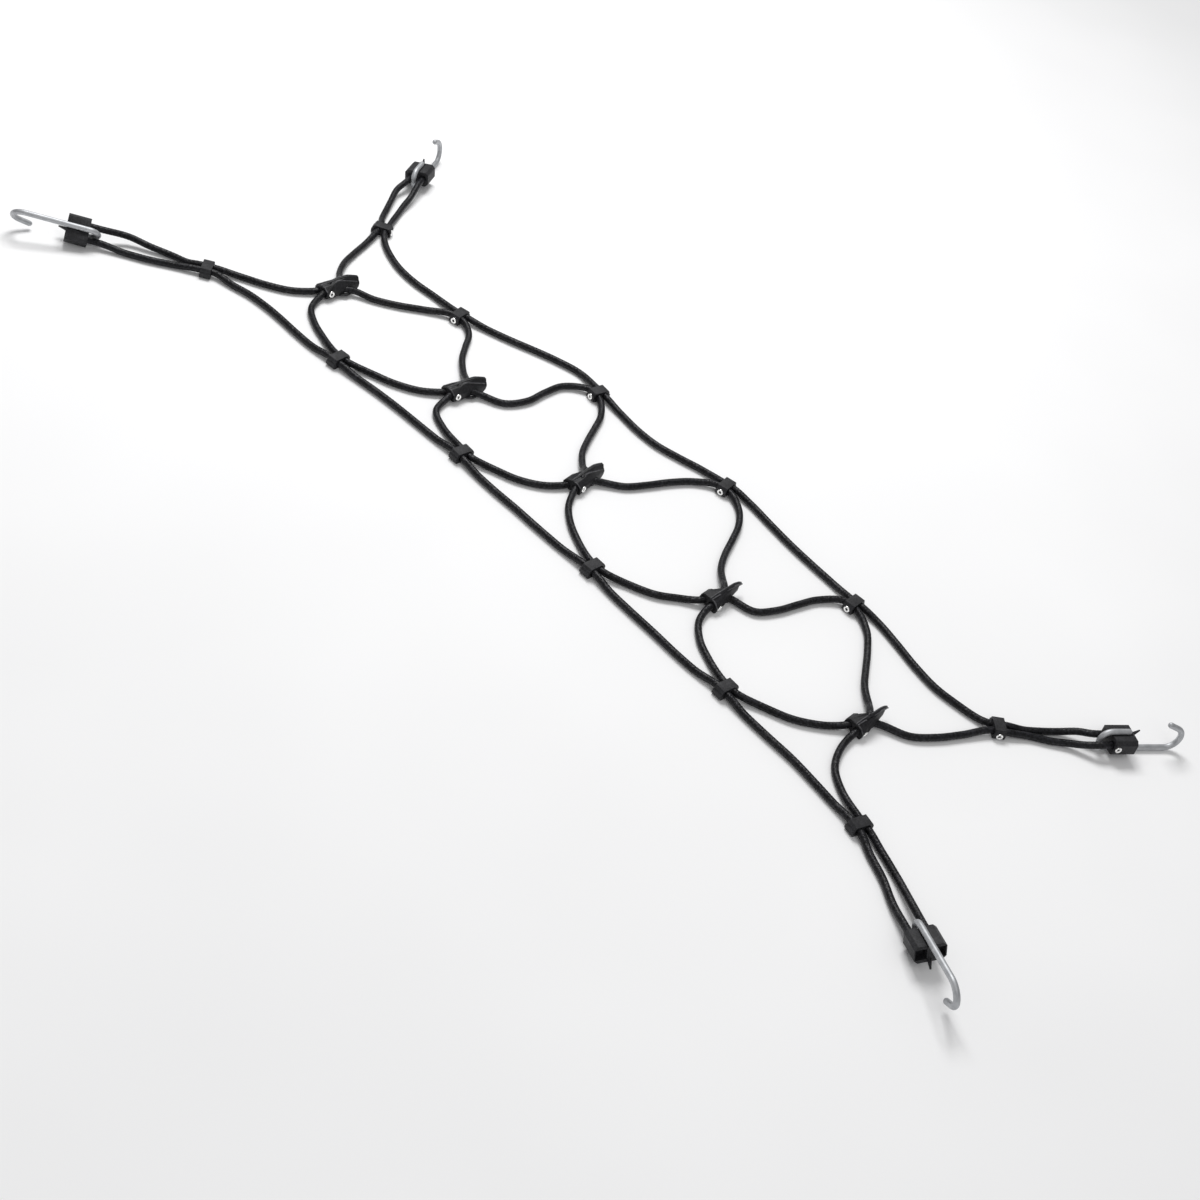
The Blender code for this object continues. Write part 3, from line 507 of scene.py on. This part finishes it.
# Braid of a cord: strands of each family round it, length of one crossing, relief, and the mesh's grain.
BRAID_STRANDS = 8
BRAID_CELL = 3.3
BRAID_RELIEF = 0.26
BRAID_MEAN_RIDGE = 0.75
BRAID_SIDES = 32
BRAID_STEP = 0.85
CORD_EASING_STEP = 1.0
CORD_EASINGS = 6
CORD_PATH_STEP = 4.0

# A wire's mesh. The last two points at each end give way to a dome, given by how far each of its rings
# stands out and how wide it is, as shares of the radius.
WIRE_STEP = 1.2
WIRE_SIDES = 28
WIRE_EASINGS = 2
DOME_POINTS = 2
DOME = ((0.62, 0.78), (0.92, 0.38))

# Mouldings: points closer than MERGE metres are made one, edges that bend by less than FLAT degrees go, and
# edges that bend by more than EDGE degrees are rounded.
MERGE = 2e-6
FLAT = 2.0
EDGE = 28.0
ROUNDINGS = {
    # radius, segments
    "block": (0.35, 2),
    "clip": (1.1, 4),
    "centre": (0.5, 3),
}

# Raised lines on a centre clip, half sunk in its skin, which is found by a ray down from RIB_DROP.
# Their lighter plastic is a painted highlight along the clip's ridges and the edge of its front face.
RIB_DROP = 30.0
RIB_RISE = -0.15
RIB_RADIUS = 0.55
RIB_STEP = 0.8
RIB_EASINGS = 3
RIB_SIDES = 10
RIB_FRONT = ((1.6, -12.1), (4.6, -12.1), (8.7, -12.1))
RIB_PLANS = {
    # x, y in the clip's own axes, from the notch at the front to the lobe's end
    "broad": {
        "left": ((-0.6, -12.4), (-0.3, -5.0), (0.6, 5.0), (1.2, 15.0), (1.9, 22.0), (2.6, 25.8)),
        "right": ((0.9, -12.4), (2.4, -6.0), (4.0, 2.0), (4.9, 10.0), (5.4, 18.0), (5.8, 23.5)),
        "front": RIB_FRONT,
    },
    "narrow": {
        "left": ((-0.6, -12.4), (-0.3, -5.0), (0.6, 5.0), (1.2, 15.0), (1.9, 22.0), (2.6, 26.4)),
        "right": ((0.9, -12.4), (1.7, -5.0), (2.9, 5.0), (3.4, 15.0), (3.9, 21.0), (4.1, 26.0)),
        "front": RIB_FRONT,
    },
}

# Hollow rivets.
RING_SIDES = 36
RING_PROFILE = (
    # radius, height over the moulding's face
    (0.95, -0.55), (1.15, 0.05), (1.3, 0.45), (1.6, 0.68), (2.1, 0.74), (2.55, 0.66), (2.86, 0.42),
    (2.98, 0.1), (2.98, -0.55),
)


def add_object(name, mesh, material):
    made = bpy.data.objects.new(name, mesh)
    bpy.context.scene.collection.objects.link(made)
    mesh.materials.clear()
    mesh.materials.append(material)
    mesh.polygons.foreach_set("use_smooth", [True] * len(mesh.polygons))
    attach(made, "root")
    return made


def braid_height(turn, along):
    """Height of the braid and which family is on top, at an angle in turns and a length in mm."""
    a = turn * BRAID_STRANDS + along / BRAID_CELL
    b = -turn * BRAID_STRANDS + along / BRAID_CELL
    over_a = np.mod(np.floor(a) - np.floor(b), 4) < 2
    across = np.where(over_a, np.mod(a, 1.0), np.mod(b, 1.0))
    ridge = np.sqrt(np.clip(1.0 - (2.0 * across - 1.0) ** 2, 0.0, 1.0))
    return ridge, over_a


def braid_faces(rings):
    """Quads between a cord's rings, and fans round the middle points of its ends, which follow the rings."""
    i, j = np.meshgrid(np.arange(rings - 1), np.arange(BRAID_SIDES), indexing="ij")
    k = (j + 1) % BRAID_SIDES
    low, high = i * BRAID_SIDES, (i + 1) * BRAID_SIDES
    quads = np.stack([low + j, low + k, high + k, high + j], axis=-1).reshape(-1, 4)
    around = np.arange(BRAID_SIDES)
    after = (around + 1) % BRAID_SIDES
    top, middle = (rings - 1) * BRAID_SIDES, np.full(BRAID_SIDES, rings * BRAID_SIDES)
    low_cap = np.stack([middle, after, around], axis=1)
    high_cap = np.stack([middle + 1, top + around, top + after], axis=1)
    return quads.tolist() + low_cap.tolist() + high_cap.tolist()


def build_cord(name, steps, material):
    """A cord with its braid in relief, from inside one hook block to inside another."""
    line, _ = even([centred(p) for p in smooth(route_of(steps))], CORD_EASING_STEP)
    line, along = even(softened(line, CORD_EASINGS), BRAID_STEP)
    side, up, _ = axes_along(line)
    turn, length = np.meshgrid(np.arange(BRAID_SIDES) / BRAID_SIDES, along)
    ridge, over_a = braid_height(turn, length)
    radius = CORD_RADIUS + BRAID_RELIEF * (ridge - BRAID_MEAN_RIDGE)
    sideways = (radius * np.cos(math.tau * turn))[..., None] * side[:, None, :]
    upward = (radius * np.sin(math.tau * turn))[..., None] * up[:, None, :]
    points = line[:, None, :] + sideways + upward
    points[..., 2] = np.maximum(points[..., 2], 0.0)
    points = np.concatenate([points.reshape(-1, 3), line[[0, -1]]]) * MM
    mesh = bpy.data.meshes.new(name)
    mesh.from_pydata(points.tolist(), [], braid_faces(len(line)))
    mesh.validate()
    family = mesh.attributes.new("family", "FLOAT", "POINT")
    family.data.foreach_set("value", np.concatenate([over_a.reshape(-1).astype(float), [0.5, 0.5]]))
    made = add_object(name + "_braid", mesh, material)
    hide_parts(name)
    path, _ = even(line * MM, CORD_PATH_STEP * MM)
    length = float(np.linalg.norm(np.diff(path, axis=0), axis=1).sum())


def tube_mesh(name, line, radius, sides):
    """A round bar along an array of points in mm, with domed ends."""
    side, up, ahead = axes_along(line)
    rows = [(line[0], 0, -radius * push, grow) for push, grow in reversed(DOME)]
    rows += [(line[i], i, 0.0, 1.0) for i in range(len(line))]
    rows += [(line[-1], -1, radius * push, grow) for push, grow in DOME]
    points, faces = [], []
    for place, i, push, grow in rows:
        middle = place + ahead[i] * push
        for k in range(sides):
            a = math.tau * k / sides
            points.append((middle + (side[i] * math.cos(a) + up[i] * math.sin(a)) * radius * grow) * MM)
    for r in range(len(rows) - 1):
        for k in range(sides):
            n = (k + 1) % sides
            faces.append((r * sides + k, r * sides + n, (r + 1) * sides + n, (r + 1) * sides + k))
    faces.append(tuple(reversed(range(sides))))
    top = (len(rows) - 1) * sides
    faces.append(tuple(top + k for k in range(sides)))
    mesh = bpy.data.meshes.new(name)
    mesh.from_pydata([tuple(p) for p in points], [], faces)
    return mesh


def wire_line():
    """The wire's middle line in the block's x-y plane, from the tail's end to the hook's tip."""
    points = [Vector((x, WIRE_OFFSET, 0.0)) for x in WIRE_TAIL_XS]
    for i in range(WIRE_REAR_PARTS + 1):
        a = math.pi * i / WIRE_REAR_PARTS
        points.append(Vector((WIRE_REAR_X - WIRE_OFFSET * math.sin(a), WIRE_OFFSET * math.cos(a), 0.0)))
    points += [Vector((x, -WIRE_OFFSET, 0.0)) for x in WIRE_SHANK_XS]
    for i in range(WIRE_HOOK_PARTS + 1):
        a = math.radians(WIRE_HOOK_SWEEP) * i / WIRE_HOOK_PARTS
        points.append(Vector((
            WIRE_SHANK_X + WIRE_HOOK_RADIUS * math.sin(a),
            -WIRE_OFFSET + WIRE_HOOK_RADIUS * (1 - math.cos(a)),
            0.0,
        )))
    a = math.radians(WIRE_HOOK_SWEEP)
    end = points[-1]
    points += [end + Vector((math.cos(a), math.sin(a), 0.0)) * WIRE_TIP * share for share in WIRE_TIP_SHARES]
    return points


def build_wire(name, material):
    place = hook_frame(name)
    line, _ = even([centred(place @ p) for p in wire_line()], WIRE_STEP)
    line = softened(line, WIRE_EASINGS)[DOME_POINTS:-DOME_POINTS]
    mesh = tube_mesh("wire_" + name, line, WIRE_RADIUS, WIRE_SIDES)
    made = add_object("wire_" + name, mesh, material)
    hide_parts("hook_" + name)


def build_moulding(name, material, rounding):
    """A copy of a moulding's solid with its edges rounded."""
    mesh = NODES[name].data.copy()
    work = bmesh.new()
    work.from_mesh(mesh)
    bmesh.ops.remove_doubles(work, verts=work.verts, dist=MERGE)
    bmesh.ops.dissolve_limit(work, angle_limit=math.radians(FLAT), verts=work.verts, edges=work.edges)
    work.to_mesh(mesh)
    work.free()
    made = add_object(name + "_moulding", mesh, material)
    bevel = made.modifiers.new("edges", "BEVEL")
    bevel.width = ROUNDINGS[rounding][0] * MM
    bevel.segments = ROUNDINGS[rounding][1]
    bevel.limit_method = "ANGLE"
    bevel.angle_limit = math.radians(EDGE)
    bevel.use_clamp_overlap = True
    bevel.harden_normals = True
    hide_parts(name)


def build_ribs(name, lobe, material):
    """Raised lines on a centre clip, two along its top and one along the edge of its front face: painted
    highlights.
    """
    place = scaled(centre_frame(name))
    skin = NODES["clip_" + name].data.copy()
    skin.transform(place.inverted())
    tree = BVHTree.FromPolygons([v.co for v in skin.vertices], [f.vertices for f in skin.polygons])
    bpy.data.meshes.remove(skin)
    for side, plan in RIB_PLANS[lobe].items():
        steps, _ = even(smooth([Vector((x, y, 0.0)) for x, y in plan]), RIB_STEP)
        line = []
        for x, y, _ in steps:
            hit = tree.ray_cast(Vector((x, y, RIB_DROP)) * MM, Vector((0.0, 0.0, -1.0)))[0]
            if hit is not None:
                line.append(place @ (hit + Vector((0.0, 0.0, RIB_RISE * MM))) / MM)
        eased = softened(np.array([tuple(p) for p in line]), RIB_EASINGS)
        mesh = tube_mesh(f"rib_{name}_{side}", eased, RIB_RADIUS, RIB_SIDES)
        add_object(f"rib_{name}_{side}", mesh, material)


def build_rivet(node, place, material):
    """A hollow rivet: a rolled head with a rounded rim and a deep bore."""
    work = bmesh.new()
    rings = []
    for radius, height in RING_PROFILE:
        rings.append([
            work.verts.new((
                radius * math.cos(math.tau * k / RING_SIDES) * MM,
                radius * math.sin(math.tau * k / RING_SIDES) * MM,
                height * MM,
            ))
            for k in range(RING_SIDES)
        ])
    for a, b in zip(rings, rings[1:] + rings[:1]):
        for k in range(RING_SIDES):
            n = (k + 1) % RING_SIDES
            work.faces.new((a[k], a[n], b[n], b[k]))
    bmesh.ops.recalc_face_normals(work, faces=work.faces)
    mesh = bpy.data.meshes.new(node)
    work.to_mesh(mesh)
    work.free()
    mesh.transform(scaled(place))
    made = add_object(node + "_ring", mesh, material)
    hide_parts(node)


# ---------------------------------------------------------------- camera, light, floor

# The photograph's camera, fitted to the cords: its place in metres, its three axes, its lens and its shift.
CAMERA_PLACE = (0.6855, -1.10945, 1.0003)
CAMERA_RIGHT = (0.7163, 0.65678, 0.23568)
CAMERA_DOWN = (0.58488, -0.38091, -0.71612)
CAMERA_AHEAD = (-0.38056, 0.6508, -0.65698)
CAMERA_LENS = 56.83
CAMERA_SENSOR = 36.0
CAMERA_CLIPS = (0.05, 30.0)
HALF_PIXEL = 0.5 / 1200

# The floor, just under the net, and the soft light of the room and of two lamps aimed at the net's middle.
FLOOR_HALF = 6.0
FLOOR_Z = -0.0004
ROOM_LIGHT = 0.36
LAMPS = {
    # place, width and depth, watts
    "key": ((-0.9, 0.6, 1.9), (1.2, 0.9), 38.0),
    "fill": ((1.2, -1.0, 1.8), (1.6, 1.6), 9.0),
}


def add_camera():
    data = bpy.data.cameras.new("photo_camera")
    data.lens = CAMERA_LENS
    data.sensor_width = CAMERA_SENSOR
    data.shift_x = -HALF_PIXEL
    data.shift_y = HALF_PIXEL
    data.clip_start, data.clip_end = CAMERA_CLIPS
    made = bpy.data.objects.new("photo_camera", data)
    turned = Matrix((CAMERA_RIGHT, -Vector(CAMERA_DOWN), -Vector(CAMERA_AHEAD))).transposed().to_4x4()
    made.matrix_world = Matrix.Translation(Vector(CAMERA_PLACE)) @ turned
    bpy.context.scene.collection.objects.link(made)
    bpy.context.scene.camera = made


def add_lamp(name, place, size, watts):
    data = bpy.data.lights.new(name, "AREA")
    data.shape = "RECTANGLE"
    data.size, data.size_y = size
    data.energy = watts
    made = bpy.data.objects.new(name, data)
    made.location = place
    made.rotation_euler = (-Vector(place)).to_track_quat("-Z", "Y").to_euler()
    bpy.context.scene.collection.objects.link(made)


def add_stage():
    mesh = bpy.data.meshes.new("floor")
    work = bmesh.new()
    bmesh.ops.create_grid(work, x_segments=2, y_segments=2, size=FLOOR_HALF)
    work.to_mesh(mesh)
    work.free()
    mesh.materials.append(floor_material())
    floor = bpy.data.objects.new("floor", mesh)
    floor.location = (0.0, 0.0, FLOOR_Z)
    bpy.context.scene.collection.objects.link(floor)
    world = bpy.data.worlds.new("studio")
    bpy.context.scene.world = world
    world.use_nodes = True
    background = world.node_tree.nodes["Background"]
    background.inputs["Color"].default_value = (1.0, 1.0, 1.0, 1.0)
    background.inputs["Strength"].default_value = ROOM_LIGHT
    for name, lamp in LAMPS.items():
        add_lamp(name, *lamp)
    bpy.context.scene.view_settings.view_transform = "Standard"


# ---------------------------------------------------------------- the net

BRAIDED = cord_material()
SMOOTH = plastic_material(
    "moulded_black", (0.0080, 0.0080, 0.0093), (0.0142, 0.0142, 0.0160), rough=(0.40, 0.58), grain=0.00014,
)
GRAINY = plastic_material(
    "grained_black", (0.0120, 0.0120, 0.0136), (0.0210, 0.0210, 0.0232), rough=(0.42, 0.60), grain=0.00020,
)
# A lighter black for the raised lines of the centre clips: a painted highlight on their ridges and front
# edge.
RIB_HIGHLIGHT = plastic_material(
    "rib_highlight_black", (0.050, 0.050, 0.054), (0.090, 0.090, 0.095), rough=(0.30, 0.45), grain=0.00006,
)
ZINC = steel_material("zinc_wire", (0.40, 0.41, 0.425), (0.50, 0.51, 0.525), rough=(0.46, 0.60), metallic=0.8)
NICKEL = steel_material("nickel_rivet", (0.86, 0.86, 0.85), (0.97, 0.97, 0.96), rough=(0.16, 0.30))

add_camera()
for cord_name, cord_steps in CORDS.items():
    build_cord(cord_name, cord_steps, BRAIDED)
for hook_name, (*_, rivet_side) in HOOKS.items():
    build_wire(hook_name, ZINC)
    build_moulding("block_" + hook_name, GRAINY, "block")
    face = (BLOCK_RIVET_X, 0.0, rivet_side * BLOCK_RIVET_Z)
    out = face_frame(hook_frame(hook_name), face, (1, 0, 0), (0, rivet_side, 0))
    build_rivet("rivet_block_" + hook_name, out, NICKEL)
for clip_name, (*_, rivet_side) in CLIPS.items():
    build_moulding("clip_" + clip_name, GRAINY, "clip")
    face = (0.0, rivet_side * CLIP_RIVET_Y, CLIP_RIVET_Z)
    out = face_frame(clip_frame(clip_name), face, (-rivet_side, 0, 0), (0, 0, 1))
    build_rivet("rivet_" + clip_name, out, NICKEL)
for centre_name, (*_, lobe_end) in CENTRES.items():
    build_moulding("clip_" + centre_name, SMOOTH, "centre")
    build_ribs(centre_name, lobe_end, RIB_HIGHLIGHT)
    out = face_frame(centre_frame(centre_name), CENTRE_RIVET, (0, 1, 0), (0, 0, 1))
    build_rivet("rivet_" + centre_name, out, NICKEL)

add_stage()
